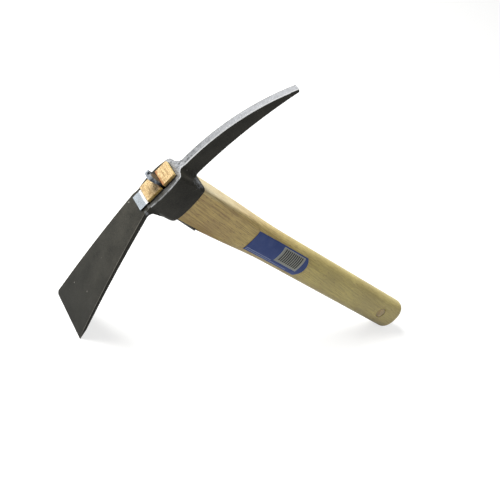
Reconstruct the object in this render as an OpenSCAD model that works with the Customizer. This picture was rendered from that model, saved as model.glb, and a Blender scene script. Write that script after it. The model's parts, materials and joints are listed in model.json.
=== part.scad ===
// Hand mattock: a forged head with a hoe blade and a cutter tail, wedged on a short wooden handle.
// Tool axes: X runs along the head towards the cutter, Z runs up the handle, and the top rim of the
// eye lies at zero. The finished tool is then set down on its blade edge and its butt.

/* [Handle] */
// Overall length from the wedged end to the butt
handle_l = 388; // [320:1:520]
// Depth of the oval grip, in the plane of the head
grip_w = 32.5; // [30:0.5:40]
// Thickness of the oval grip, across the head
grip_t = 23; // [21:0.2:29]
// Depth of the squared shank just below the eye
shank_w = 35.6; // [33:0.1:38]
// Thickness of the squared shank just below the eye
shank_t = 22; // [18:0.2:23]
// Length over which the squared shank turns into the oval grip
blend_l = 130; // [70:1:160]
// Radius round the end of the butt
butt_r = 9; // [5:0.5:10]
// Depth of the tenon that fills the eye, in the plane of the head
tenon_w = 31; // [28:0.2:32]
// Thickness of the tenon across the head
tenon_t = 17.2; // [15:0.2:18.6]
// Height of the wood that stands above the rim of the eye
tenon_proud = 4; // [2:0.1:6]
// Chamfer round the end of the tenon
tenon_chamfer = 0.8; // [0.3:0.1:1.5]
// Diameter of the hanging hole
hang_d = 9; // [5:0.5:11]
// Distance of the hanging hole from the end of the butt
hang_from_butt = 35; // [22:1:60]

/* [Eye] */
// Depth of the eye along the handle
eye_depth = 32.4; // [26:0.2:44]
// Thickness of the wall at both ends of the eye
eye_end_wall = 3.6; // [2.6:0.1:6]
// Thickness of the cheeks at the middle of the eye
eye_cheek = 4.9; // [3.4:0.1:6]
// Bow of the cheeks between the ends of the eye
eye_bow = 2.2; // [1:0.1:3]
// Radius of the upright outer corners of the eye
eye_corner_r = 4.4; // [3:0.2:6.4]
// Radius of the lower outer corner at the blade end, seen from the side
eye_foot_r = 6.5; // [3:0.5:9]
// Radius of the lower outer corner at the cutter end, seen from the side
eye_heel_r = 2.5; // [1:0.5:6]

/* [Blade] */
// Reach of the blade from the handle's axis to the cutting edge
blade_reach = 144.5; // [110:0.5:190]
// Drop of the cutting edge below the rim of the eye
blade_drop = 33.2; // [20:0.2:46]
// Width of the cutting edge
blade_edge_w = 56.5; // [40:0.5:80]
// Width of the blade where it leaves the eye
blade_root_w = 23.6; // [20:0.2:30]
// Thickness of the blade at its root
blade_root_t = 3.8; // [3:0.1:7]
// Thickness of the blade behind its sharpening bevel
blade_end_t = 2.4; // [1.8:0.1:3]
// Thickness left on the cutting edge
blade_edge_t = 0.9; // [0.5:0.1:1.6]
// Length of the sharpening bevel on the underside
blade_bevel_l = 9; // [5:0.5:16]
// Length of the level root that carries the folded strip
blade_level_l = 4; // [2:0.5:8]
// Radius of the slight arch of the blade, seen from the side
blade_arch_r = 1450; // [700:10:4000]
// Radius of the fillet under the root of the blade
blade_fillet_r = 4.5; // [2.5:0.5:8]

/* [Cutter] */
// Reach of the cutter from the handle's axis to its tip
cutter_reach = 127.6; // [90:0.2:160]
// Drop of the tip's upper edge below the rim of the eye
cutter_drop = 34.8; // [24:0.2:50]
// Thickness of the cutter
cutter_t = 6.4; // [4:0.1:8]
// Depth of the cutter at its root
cutter_root_d = 18; // [12:0.2:20]
// Depth of the small end of the cutter, which is cut square to its back
cutter_tip_d = 3.6; // [2.4:0.1:6]
// Radius of the convex back of the cutter
cutter_back_r = 178; // [140:1:260]
// Radius of the hollow belly of the cutter
cutter_belly_r = 380; // [260:5:900]
// Step from the rim of the eye down to the back of the cutter
cutter_step = 2.7; // [2:0.1:6]
// Radius of the neck between the eye and the cutter
neck_r = 6; // [4:0.2:10]
// Radius of the fillet under the root of the cutter
cutter_fillet_r = 4; // [2:0.5:6]

/* [Wedge] */
// Width of the steel wedge across the tenon
wedge_w = 10.4; // [8:0.2:13]
// Offset of the wedge from the middle of the kerf, towards the near side
wedge_aside = 0.9; // [0:0.1:2]
// Length of the wedge from its head to its thin end
wedge_l = 32.5; // [24:0.5:36]
// Height of the wedge's head above the end of the wood
wedge_proud = 12.6; // [4:0.2:13]
// Thickness of the wedge at its head
wedge_head_t = 3.8; // [2.8:0.1:5]
// Thickness of the wedge at its thin end
wedge_thin_t = 1; // [0.6:0.1:1.8]
// Radius of the rounded corners of the wedge's head
wedge_corner_r = 2.8; // [1:0.1:5]
// Offset of the kerf from the handle's axis, towards the cutter
kerf_shift = 1.2; // [-3:0.1:3]
// Depth of the saw kerf below the wedge's thin end
kerf_spare = 4; // [2:0.5:8]

/* [Strip] */
// Inset of the steel strip from both sides of the tenon
strip_inset = 0.5; // [0:0.1:3]
// Thickness of the steel strip
strip_t = 1.5; // [0.8:0.1:2.2]
// Length of the lip that is folded over the root of the blade
strip_lip_l = 8.4; // [5:0.2:12]
// Length of strip that shows below the eye
strip_tail_l = 29; // [10:0.5:40]
// Lean of the strip's lower end away from the handle's axis
strip_lean = 1.2; // [0:0.1:2]

/* [Label] */
// Length of the label along the handle
label_l = 79; // [50:1:100]
// Height of the label across the side of the handle
label_h = 21.6; // [14:0.2:24]
// Thickness of the label
label_t = 0.3; // [0.2:0.05:0.6]
// Distance from the rim of the eye to the label
label_from = 119.4; // [90:0.2:150]
// Height of the label's middle line above the middle of the handle
label_rise = 0.2; // [-1:0.1:1]
// Bulge of the label's rounded end
label_bulge = 5; // [2:0.5:8]

/* [Hidden] */
// Clearance between seated pieces
fit = 0.1;
// Overrun of every cut past the face that it opens
over = 2;
// Small overlap of joined shapes, so that they cross at clear edges
lap = 0.04;
// Smoothness of round stretches, and of the blade's wide arch
$fn = 96;
arch_fn = 1440;
// Number of points round a section of the handle, rings in its blend and rings round its butt
section_n = 48;
blend_n = 12;
butt_n = 7;
// Number of columns and rows of the label's skin
label_cols = 14;
label_rows = 10;
// Squareness exponents of the tenon, the shank and the grip
tenon_square_share = 24;
shank_square_share = 14;
grip_square_share = 2.25;

// Eye: the hole takes the tenon and the strip, and the walls stand round the hole
hole_cutter_x = tenon_w / 2 + fit;
strip_inner_x = -tenon_w / 2 - fit;
strip_outer_x = strip_inner_x - strip_t;
hole_blade_x = strip_outer_x - fit;
hole_half_t = tenon_t / 2 + fit;
eye_cutter_x = hole_cutter_x + eye_end_wall;
eye_blade_x = hole_blade_x - eye_end_wall;
eye_half_t = hole_half_t + eye_cheek;
eye_mid_x = (eye_cutter_x + eye_blade_x) / 2;
eye_half_l = (eye_cutter_x - eye_blade_x) / 2;
eye_bow_r = (eye_half_l * eye_half_l + eye_bow * eye_bow) / (2 * eye_bow);
eye_bow_centre = [eye_mid_x, eye_half_t - eye_bow_r];
eye_corner_reach = sqrt(pow(eye_bow_r - eye_corner_r, 2) - pow(eye_half_l - eye_corner_r, 2));
eye_corner_y = eye_bow_centre[1] + eye_corner_reach;
strip_w = tenon_t - 2 * strip_inset;
strip_end_z = -eye_depth - strip_tail_l;
strip_top_z = fit + strip_t;

// Blade: corners of its side outline
blade_level_x = eye_blade_x - blade_level_l;
blade_tip = [-blade_reach, -blade_drop];
blade_low = blade_tip - [0, blade_edge_t];
blade_level = [blade_level_x, 0];
blade_run = norm(blade_level - blade_tip);
blade_fall = (blade_level - blade_tip) / blade_run;
blade_under = [blade_fall[1], -blade_fall[0]];
blade_heel = blade_tip + blade_fall * blade_bevel_l + blade_under * blade_end_t;
blade_root_low = [eye_blade_x, -blade_root_t];
arch_centre = arc_centre(blade_tip, blade_level, blade_arch_r);
hollow_centre = arc_centre(blade_heel, blade_root_low, blade_arch_r);
hollow_arm = (blade_root_low - hollow_centre) / blade_arch_r;
blade_belly = [-hollow_arm[1], hollow_arm[0]];
blade_web_z = blade_root_low[1] - fill_run(blade_belly, [0, -1], blade_fillet_r);
blade_seat_x = eye_blade_x + eye_corner_r;

// Cutter: its back and its belly are arcs from the root to the tip
cutter_seat_x = eye_cutter_x - eye_corner_r;
neck_x = cutter_seat_x + neck_run();
cutter_root = [neck_x, -cutter_step];
cutter_tip = [cutter_reach, -cutter_drop];
belly_root = [eye_cutter_x, -cutter_step - cutter_root_d];
back_centre = arc_centre(cutter_root, cutter_tip, cutter_back_r);
tip_out = (cutter_tip - back_centre) / cutter_back_r;
belly_tip = cutter_tip - tip_out * cutter_tip_d;
belly_centre = arc_centre(belly_root, belly_tip, cutter_belly_r);
cutter_dip = cutter_root - [eye_cutter_x, 0];
cutter_web_z = belly_root[1] - fill_run(belly_along(), [0, -1], cutter_fillet_r);

// Wedge and kerf
wedge_top_z = tenon_proud + wedge_proud;
wedge_thin_z = wedge_top_z - wedge_l;
wedge_taper_share = (wedge_head_t - wedge_thin_t) / wedge_l;
kerf_mouth_t = wedge_thin_t + wedge_taper_share * (tenon_proud + over - wedge_thin_z);
kerf_floor_z = wedge_thin_z - kerf_spare;

// Handle: heights of its shoulder, its butt and its hanging hole
shoulder_z = -eye_depth - fit;
butt_z = tenon_proud - handle_l;
hang_z = butt_z + hang_from_butt;

// Set-down pose: the floor runs from the cutting edge to the round of the butt
butt_centre = [butt_r - grip_w / 2, butt_z + butt_r];
butt_far_centre = [grip_w / 2 - butt_r, butt_z + butt_r];
rest_run = butt_centre - blade_low;
rest_angle = atan2(rest_run[1], rest_run[0]) - asin(butt_r / norm(rest_run));
rest_floor_z = rest_z(blade_low);
rest_mid_x = (rest_x(blade_tip) + rest_x(butt_far_centre) + butt_r) / 2;

function rest_x(p) = p[0] * cos(rest_angle) + p[1] * sin(rest_angle);
function rest_z(p) = p[1] * cos(rest_angle) - p[0] * sin(rest_angle);

// Centre of the arc of radius r that bulges upwards from point p to point q
function arc_centre(p, q, r) =
    let (mid = (p + q) / 2, half = norm(q - p) / 2, along = (q - p) / norm(q - p))
    mid + [along[1], -along[0]] * sqrt(r * r - half * half);

// Distance along the head from the corner's centre to the end of the neck's fillet
function neck_run() =
    let (rise = cutter_t / 2 + neck_r - eye_corner_y)
    sqrt(pow(eye_corner_r + neck_r - lap, 2) - rise * rise);

// Blend between two values, level at both ends
function ease(a, b, s) = a + (b - a) * s * s * (3 - 2 * s);

// Half depth, half thickness and squareness of the handle at height z below the shoulder
function blend_at(z) = min(max((shoulder_z - z) / blend_l, 0), 1);
function half_w(z) = ease(shank_w, grip_w, blend_at(z)) / 2;
function half_t(z) = ease(shank_t, grip_t, blend_at(z)) / 2;
function square_at(z) = ease(shank_square_share, grip_square_share, pow(blend_at(z), 1 / 2));

// One ring of the handle: a squared oval with half sizes w and t and squareness n
function root_of(c, n) = sign(c) * pow(abs(c), 2 / n);
function ring(w, t, n, z) =
    [for (i = [0:section_n - 1])
        let (a = 360 * i / section_n)
        [w * root_of(cos(a), n), t * root_of(sin(a), n), z]];

// Skin round a stack of rings, with a flat cap at each end
function skin_faces(rings, n) = concat(
    [[for (i = [0:n - 1]) i]],
    [for (k = [0:rings - 2], i = [0:n - 1]) [k * n + i, (k + 1) * n + i, (k + 1) * n + (i + 1) % n]],
    [for (k = [0:rings - 2], i = [0:n - 1]) [k * n + i, (k + 1) * n + (i + 1) % n, k * n + (i + 1) % n]],
    [[for (i = [n - 1:-1:0]) (rings - 1) * n + i]]);

// Height of the handle's near side at place x and height z
function near_y(x, z) =
    let (n = square_at(z)) -half_t(z) * pow(1 - pow(abs(x) / half_w(z), n), 1 / n);

// Length of a concave fillet of radius r along each side of the corner between directions u and v
function fill_run(u, v, r) = (r - lap) / tan(acos(u * v) / 2);

// Fill of a concave fillet of radius r in the corner between unit directions u and v
module corner_fill(corner, u, v, r) {
    half = acos(u * v) / 2;
    centre = corner + (u + v) / norm(u + v) * (r - lap) / sin(half);
    difference() {
        polygon([
            corner - (u + v) * lap,
            corner + u * fill_run(u, v, r),
            centre,
            corner + v * fill_run(u, v, r),
        ]);
        translate(centre)
            circle(r);
    }
}

// Rectangle between two corners, with its lower left and lower right corners rounded
module footed_block(low, high, left_r, right_r) {
    polygon([
        [low[0], high[1]],
        [low[0], low[1] + left_r],
        [low[0] + left_r, low[1]],
        [high[0] - right_r, low[1]],
        [high[0], low[1] + right_r],
        [high[0], high[1]],
    ]);
    translate([low[0] + left_r, low[1] + left_r])
        circle(left_r);
    translate([high[0] - right_r, low[1] + right_r])
        circle(right_r);
}

// A side outline, drawn in X and Z, given thickness t across the head
module across(t) {
    translate([0, t / 2, 0])
        rotate([90, 0, 0])
            linear_extrude(t)
                children();
}

// A plan outline, drawn in X and Y, run between two heights
module upright(low, high) {
    translate([0, 0, low])
        linear_extrude(high - low)
            children();
}

// The tool set down on its cutting edge and its butt, with its box centred over the origin
module set_down() {
    translate([-rest_mid_x, 0, -rest_floor_z])
        rotate([0, rest_angle, 0])
            children();
}

// A point beyond the bowed cheek, in line with the centre of the eye's corner at x
function beyond_cheek(x) =
    let (arm = [x, eye_corner_y] - eye_bow_centre)
    eye_bow_centre + arm / norm(arm) * (eye_bow_r + eye_half_t);

// Plan of the eye: bowed cheeks that run smoothly into its rounded corners
module eye_plan() {
    translate([eye_blade_x, -eye_corner_y])
        square([2 * eye_half_l, 2 * eye_corner_y]);
    for (side = [0, 1])
        mirror([0, side]) {
            for (x = [blade_seat_x, cutter_seat_x])
                translate([x, eye_corner_y])
                    circle(eye_corner_r);
            intersection() {
                translate(eye_bow_centre)
                    circle(eye_bow_r);
                polygon([
                    [blade_seat_x, 0],
                    [blade_seat_x, eye_corner_y],
                    beyond_cheek(blade_seat_x),
                    beyond_cheek(cutter_seat_x),
                    [cutter_seat_x, eye_corner_y],
                    [cutter_seat_x, 0],
                ]);
            }
        }
}

module eye_block() {
    intersection() {
        across(2 * (eye_half_t + over))
            footed_block([eye_blade_x, -eye_depth], [eye_cutter_x, 0], eye_foot_r, eye_heel_r);
        upright(-eye_depth - over, over)
            eye_plan();
    }
}

module blade_side() {
    difference() {
        intersection() {
            translate(arch_centre)
                circle(blade_arch_r, $fn = arch_fn);
            polygon([
                [blade_seat_x, 0],
                blade_level,
                (blade_level + blade_tip - blade_under * blade_run) / 2,
                blade_tip,
                blade_low,
                blade_heel,
                blade_root_low,
                [blade_seat_x, -blade_root_t],
            ]);
        }
        translate(hollow_centre)
            circle(blade_arch_r, $fn = arch_fn);
    }
    polygon([
        [blade_seat_x, 0],
        [eye_blade_x, 0],
        blade_root_low,
        [eye_blade_x, blade_web_z],
        [blade_seat_x, blade_web_z - eye_corner_r],
    ]);
    corner_fill(blade_root_low, blade_belly, [0, -1], blade_fillet_r);
}

module blade_plan() {
    polygon([
        [blade_seat_x, blade_root_w / 2],
        [-blade_reach, blade_edge_w / 2],
        [-blade_reach, -blade_edge_w / 2],
        [blade_seat_x, -blade_root_w / 2],
    ]);
}

module blade() {
    intersection() {
        across(blade_edge_w + over)
            blade_side();
        upright(-blade_drop - eye_depth, over)
            blade_plan();
    }
}

module cutter_side() {
    tip_above = cutter_tip + tip_out * over;
    tip_below = belly_tip - tip_out * over;
    difference() {
        intersection() {
            translate(back_centre)
                circle(cutter_back_r);
            polygon([
                [cutter_seat_x, 0],
                [cutter_seat_x, tip_below[1]],
                tip_below,
                tip_above,
                [tip_above[0], 0],
            ]);
        }
        translate(belly_centre)
            circle(cutter_belly_r);
    }
    polygon([
        [cutter_seat_x, 0],
        [eye_cutter_x, 0],
        cutter_root + cutter_dip / 2,
        belly_root,
        [eye_cutter_x, cutter_web_z],
        [cutter_seat_x, eye_heel_r - eye_depth],
    ]);
    corner_fill(belly_root, belly_along(), [0, -1], cutter_fillet_r);
}

// Direction of the belly where it leaves the eye
function belly_along() =
    let (arm = (belly_root - belly_centre) / cutter_belly_r) [arm[1], -arm[0]];

module cutter_plan() {
    translate([cutter_seat_x, -cutter_t / 2])
        square([cutter_reach - cutter_seat_x, cutter_t]);
    for (side = [0, 1])
        mirror([0, side])
            difference() {
                polygon([
                    [cutter_seat_x, 0],
                    [cutter_seat_x, eye_corner_y],
                    [neck_x, cutter_t / 2 + neck_r],
                    [neck_x, 0],
                ]);
                translate([neck_x, cutter_t / 2 + neck_r])
                    circle(neck_r);
            }
}

module cutter() {
    intersection() {
        across(2 * eye_half_t)
            cutter_side();
        upright(belly_tip[1] - eye_depth, over)
            cutter_plan();
    }
}

module mattock_head() {
    color("#3a3a37")
        set_down()
            difference() {
                union() {
                    eye_block();
                    blade();
                    cutter();
                }
                translate([hole_blade_x, -hole_half_t, -eye_depth - over])
                    cube([hole_cutter_x - hole_blade_x, 2 * hole_half_t, eye_depth + 2 * over]);
            }
}

module handle_blank() {
    rings = concat(
        [ring(tenon_w / 2 - tenon_chamfer, tenon_t / 2 - tenon_chamfer, tenon_square_share, tenon_proud)],
        [for (z = [tenon_proud - tenon_chamfer, -eye_depth])
            ring(tenon_w / 2, tenon_t / 2, tenon_square_share, z)],
        [for (k = [0:blend_n])
            let (z = shoulder_z - blend_l * k / blend_n)
            ring(half_w(z), half_t(z), square_at(z), z)],
        [for (k = [0:butt_n])
            let (a = 90 * k / butt_n, inset = butt_r * (1 - cos(a)))
            ring(grip_w / 2 - inset, grip_t / 2 - inset, grip_square_share, butt_z + butt_r * (1 - sin(a)))]);
    polyhedron([for (r = rings) each r], skin_faces(len(rings), section_n));
}

module kerf_outline() {
    polygon([
        [kerf_shift - kerf_mouth_t / 2 - fit, tenon_proud + over],
        [kerf_shift + kerf_mouth_t / 2 + fit, tenon_proud + over],
        [kerf_shift + wedge_thin_t / 2 + fit, wedge_thin_z],
        [kerf_shift + wedge_thin_t / 2 + fit, kerf_floor_z],
        [kerf_shift - wedge_thin_t / 2 - fit, kerf_floor_z],
        [kerf_shift - wedge_thin_t / 2 - fit, wedge_thin_z],
    ]);
}

// Flat on the blade side of the shank, in which the strip's tail lies
module strip_seat() {
    polygon([
        [-tenon_w / 2, -eye_depth],
        [-tenon_w / 2 - strip_lean, strip_end_z - fit],
        [-shank_w, strip_end_z - fit],
        [-shank_w, -eye_depth],
    ]);
}

module handle() {
    color("#b89c68")
        set_down()
            difference() {
                handle_blank();
                across(shank_t + 2 * over)
                    kerf_outline();
                across(shank_t + 2 * over)
                    strip_seat();
                translate([0, 0, hang_z])
                    rotate([90, 0, 0])
                        cylinder(h = grip_t + 2 * over, d = hang_d, center = true);
            }
}

// Wedge seen across the head: tapered from its head to its thin end
module wedge_side() {
    polygon([
        [kerf_shift - wedge_head_t / 2, wedge_top_z],
        [kerf_shift + wedge_head_t / 2, wedge_top_z],
        [kerf_shift + wedge_thin_t / 2, wedge_thin_z],
        [kerf_shift - wedge_thin_t / 2, wedge_thin_z],
    ]);
}

// Wedge seen along the head: its head has rounded corners
module wedge_face() {
    translate([0, wedge_top_z])
        mirror([0, 1])
            footed_block([-wedge_w / 2, 0], [wedge_w / 2, wedge_l], wedge_corner_r, wedge_corner_r);
}

module kerf_wedge() {
    color("#828c9b")
        set_down()
            translate([0, -wedge_aside, 0])
                intersection() {
                    across(wedge_w)
                        wedge_side();
                    translate([kerf_shift - wedge_head_t, 0, 0])
                        rotate([90, 0, 90])
                            linear_extrude(2 * wedge_head_t)
                                wedge_face();
                }
}

module strip_side() {
    difference() {
        polygon([
            [strip_inner_x, strip_top_z],
            [strip_inner_x, -eye_depth],
            [strip_inner_x - strip_lean, strip_end_z],
            [strip_outer_x - strip_lean, strip_end_z],
            [strip_outer_x, -eye_depth],
            [strip_outer_x, fit],
            [strip_outer_x - strip_lip_l, fit],
            [strip_outer_x - strip_lip_l, strip_top_z],
        ]);
        difference() {
            translate([strip_outer_x, fit])
                square(strip_t + over);
            translate([strip_outer_x, fit])
                circle(strip_t);
        }
    }
}

module eye_shim() {
    color("#becdd7")
        set_down()
            across(strip_w)
                strip_side();
}

// Skin of the label at column i and row k, lifted clear of the handle by lift
function label_x(i) = label_rise + label_h * (i / label_cols - 1 / 2);
function label_end(i) = label_l + label_bulge * (1 - pow(2 * i / label_cols - 1, 2));
function label_point(i, k, lift) =
    let (x = label_x(i), z = -label_from - label_end(i) * k / label_rows)
    [x, near_y(x, z) - lift, z];

module handle_label() {
    cols = label_cols + 1;
    back = [for (k = [0:label_rows], i = [0:label_cols]) label_point(i, k, fit)];
    face = [for (k = [0:label_rows], i = [0:label_cols]) label_point(i, k, fit + label_t)];
    turn = cols * (label_rows + 1);
    rim = concat(
        [for (i = [0:label_cols]) i],
        [for (k = [1:label_rows]) k * cols + label_cols],
        [for (i = [label_cols - 1:-1:0]) label_rows * cols + i],
        [for (k = [label_rows - 1:-1:1]) k * cols]);
    faces = concat(
        [for (k = [0:label_rows - 1], i = [0:label_cols - 1], h = [0, 1])
            let (a = k * cols + i)
            h == 0 ? [a, a + 1, a + cols + 1] : [a, a + cols + 1, a + cols]],
        [for (k = [0:label_rows - 1], i = [0:label_cols - 1], h = [0, 1])
            let (a = turn + k * cols + i)
            h == 0 ? [a, a + cols + 1, a + 1] : [a, a + cols, a + cols + 1]],
        [for (j = [0:len(rim) - 1], h = [0, 1])
            let (a = rim[j], b = rim[(j + 1) % len(rim)])
            h == 0 ? [a, turn + a, turn + b] : [a, turn + b, b]]);
    color("#344280")
        set_down()
            polyhedron(concat(back, face), faces);
}

mattock_head();
handle();
kerf_wedge();
eye_shim();
handle_label();
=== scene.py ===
"""Dresses a hand mattock: forged head, wooden handle, steel wedge, steel strip and paper label."""

import json
import math
from functools import partial

import bmesh
import bpy
from mathutils import Euler, Matrix, Vector


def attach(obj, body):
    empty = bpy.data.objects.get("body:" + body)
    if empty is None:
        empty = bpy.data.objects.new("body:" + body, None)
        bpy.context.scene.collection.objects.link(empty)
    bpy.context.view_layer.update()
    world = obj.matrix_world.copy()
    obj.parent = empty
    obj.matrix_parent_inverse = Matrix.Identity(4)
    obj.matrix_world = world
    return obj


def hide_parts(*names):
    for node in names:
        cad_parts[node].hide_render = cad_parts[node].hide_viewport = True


bl_info = {
    "name": "Hand mattock",
    "version": (1, 0, 0),
    "blender": (4, 5, 0),
    "location": "View3D > Sidebar > Mattock",
    "description": "Models the pieces of a hand mattock over its solids and sets up a plain stage",
    "category": "Object",
}

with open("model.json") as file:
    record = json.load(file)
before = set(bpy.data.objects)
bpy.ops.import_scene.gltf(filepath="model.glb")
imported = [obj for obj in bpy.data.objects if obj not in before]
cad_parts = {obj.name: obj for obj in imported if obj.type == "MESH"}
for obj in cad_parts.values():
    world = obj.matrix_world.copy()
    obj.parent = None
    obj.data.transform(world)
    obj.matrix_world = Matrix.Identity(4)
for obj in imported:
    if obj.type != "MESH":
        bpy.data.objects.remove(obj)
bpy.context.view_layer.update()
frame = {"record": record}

MM = 0.001

# The pieces are modelled in the tool's own axes: X along the head towards the cutter, Z up the handle,
# and the rim of the eye at zero. The grip's mount tells where the tool stands and how it leans.
GRIP = next(mount for mount in frame["record"]["mounts"] if mount["name"] == "grip")
GRIP_BELOW_RIM = 265 * MM
HANDLE_DOWN = Vector(GRIP["axis"]).normalized()
RIM = Vector(GRIP["pos_m"]) - HANDLE_DOWN * GRIP_BELOW_RIM
LEAN = Euler((0.0, math.atan2(-HANDLE_DOWN.x, -HANDLE_DOWN.z), 0.0))
STANCE = Matrix.Translation(RIM) @ LEAN.to_matrix().to_4x4()

# Points of a cut that lie within a sliver are merged, loops that would meet stand a seam apart, and
# edges are picked within NEAR of their place.
SLIVER = 0.02 * MM
SEAM = 0.06 * MM
NEAR = 0.1 * MM

# A face points along an axis where that part of its normal is above SQUARE.
SQUARE = 0.9

WHITE = (1.0, 1.0, 1.0, 1.0)


def linear(code):
    """Linear colour with full opacity from an sRGB hex code."""
    parts = [int(code[i:i + 2], 16) / 255 for i in (1, 3, 5)]
    return [p / 12.92 if p <= 0.04045 else ((p + 0.055) / 1.055) ** 2.4 for p in parts] + [1.0]


def length(name, default_mm, description):
    """A length property, written in millimetres and kept in metres."""
    return bpy.props.FloatProperty(
        name=name, description=description, default=default_mm * MM, min=0.0, precision=5,
        subtype="DISTANCE", unit="LENGTH")


def amount(name, default, description, unit="NONE"):
    """A property that is no length: a power, a strength or a measure of the camera."""
    return bpy.props.FloatProperty(name=name, description=description, default=default, min=0.0, unit=unit)


def colour(name, code, description):
    """A colour property, written as an sRGB hex code."""
    return bpy.props.FloatVectorProperty(
        name=name, description=description, default=linear(code), size=4, min=0.0, max=1.0, subtype="COLOR")


class HeadSizes(bpy.types.PropertyGroup):
    """Sizes of the forged head."""

    eye_depth: length("Eye depth", 32.4, "Depth of the eye along the handle")
    eye_blade: length("Eye to blade wall", 20.8, "From the handle's axis to the blade end of the eye")
    eye_cutter: length("Eye to cutter wall", 19.2, "From the handle's axis to the cutter end of the eye")
    eye_half: length("Eye half thickness", 13.6, "Half the eye's thickness at the middle of its cheeks")
    bow: length("Cheek bow", 2.2, "Bow of the cheeks between the ends of the eye")
    far_bow: length("Far cheek bow", 1.2, "Further bow that the hammer left on the far cheek")
    hole_blade: length("Hole to blade", 17.2, "From the handle's axis to the blade end of the hole")
    hole_cutter: length("Hole to cutter", 15.6, "From the handle's axis to the cutter end of the hole")
    hole_half: length("Hole half thickness", 8.7, "Half the thickness of the hole")
    corner: length("Corner radius", 4.4, "Radius of the upright corners of the eye")
    foot: length("Foot radius", 6.5, "Radius of the eye's lower corner at the blade end")
    heel: length("Heel radius", 2.5, "Radius of the eye's lower corner at the cutter end")
    blade_reach: length("Blade reach", 144.5, "Reach of the blade from the handle's axis")
    blade_drop: length("Blade drop", 33.2, "Drop of the cutting edge below the rim")
    blade_edge: length("Blade edge width", 56.5, "Width of the cutting edge")
    blade_root: length("Blade root width", 23.6, "Width of the blade where it leaves the eye")
    blade_root_t: length("Blade root thickness", 3.8, "Thickness of the blade at its root")
    blade_end_t: length("Blade end thickness", 2.4, "Thickness of the blade behind its bevel")
    blade_edge_t: length("Edge thickness", 0.9, "Thickness left on the cutting edge")
    blade_bevel: length("Bevel length", 9.0, "Length of the sharpening bevel under the edge")
    blade_level: length("Level root", 4.0, "Length of the level root under the folded strip")
    blade_arch: length("Blade arch", 1450.0, "Radius of the slight arch of the blade")
    blade_fillet: length("Blade fillet", 4.5, "Radius of the fillet under the root of the blade")
    cutter_reach: length("Cutter reach", 127.6, "Reach of the cutter from the handle's axis")
    cutter_drop: length("Cutter drop", 34.8, "Drop of the cutter's tip below the rim")
    cutter_half: length("Cutter half thickness", 3.2, "Half the thickness of the cutter")
    cutter_root: length("Cutter root depth", 18.0, "Depth of the cutter at its root")
    cutter_tip: length("Cutter tip depth", 3.6, "Depth of the cutter's end, cut square to its back")
    cutter_back: length("Back radius", 178.0, "Radius of the cutter's back")
    cutter_belly: length("Belly radius", 380.0, "Radius of the cutter's belly")
    cutter_step: length("Cutter step", 2.7, "Step from the rim down to the cutter's back")
    neck: length("Neck radius", 6.0, "Radius of the hollow between the eye and the cutter")
    cutter_fillet: length("Cutter fillet", 4.0, "Radius of the fillet under the root of the cutter")
    soften: length("Softened edges", 0.7, "Radius worn on the edges of the forging")
    blade_soften: length("Softened blade edges", 0.8, "Radius worn on the long edges of the blade")
    blade_corner: length("Worn corner", 3.6, "Radius worn on the far corner of the cutting edge")


class HandleSizes(bpy.types.PropertyGroup):
    """Sizes of the wooden handle."""

    total: length("Length", 388.0, "Length from the wedged end to the butt")
    grip_w: length("Grip depth", 32.5, "Depth of the oval grip in the plane of the head")
    grip_t: length("Grip thickness", 23.0, "Thickness of the oval grip across the head")
    shank_w: length("Shank depth", 35.6, "Depth of the squared shank below the eye")
    shank_t: length("Shank thickness", 22.0, "Thickness of the squared shank below the eye")
    blend: length("Blend length", 130.0, "Length over which the shank turns into the grip")
    butt: length("Butt radius", 9.0, "Radius round the end of the butt")
    tenon_w: length("Tenon depth", 31.0, "Depth of the tenon in the eye")
    tenon_t: length("Tenon thickness", 17.2, "Thickness of the tenon in the eye")
    proud: length("Tenon proud", 4.0, "Height of the wood above the rim")
    chamfer: length("End chamfer", 0.8, "Chamfer worn round the end of the wood")
    hang_d: length("Hanging hole", 9.0, "Diameter of the hanging hole")
    hang_from: length("Hole from butt", 35.0, "Distance of the hanging hole from the butt")
    hang_mouth: length("Hole mouth", 1.1, "Rounding of the hanging hole's mouths")


class WedgeSizes(bpy.types.PropertyGroup):
    """Sizes of the steel wedge and its kerf."""

    width: length("Width", 10.4, "Width of the wedge across the tenon")
    aside: length("Aside", 0.9, "Offset of the wedge towards the near side")
    total: length("Length", 32.5, "Length from the head to the thin end")
    proud: length("Proud", 12.6, "Height of the head above the wood")
    head_t: length("Head thickness", 3.8, "Thickness at the head")
    thin_t: length("Thin end", 1.0, "Thickness at the thin end")
    corner: length("Corner radius", 2.8, "Radius of the head's corners")
    soften: length("Softened edges", 0.5, "Width of the worn edges")
    dent: length("Dent", 1.5, "Radius of the hammer's dent in the top edge")
    shift: length("Kerf offset", 1.2, "Offset of the kerf towards the cutter")
    spare: length("Kerf spare", 4.0, "Depth of the kerf below the thin end")


class StripSizes(bpy.types.PropertyGroup):
    """Sizes of the folded steel strip."""

    width: length("Width", 16.2, "Width of the strip across the tenon")
    thick: length("Thickness", 1.5, "Thickness of the strip")
    lip: length("Lip", 8.4, "Length of the lip on the blade's root")
    tail: length("Tail", 29.0, "Length of strip below the eye")
    lean: length("Lean", 1.9, "Lean of the tail's end away from the handle's axis")
    soften: length("Softened edges", 0.18, "Width of the worn edges")
    slack: length("Clearance", 0.1, "Clearance between seated pieces")


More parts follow.
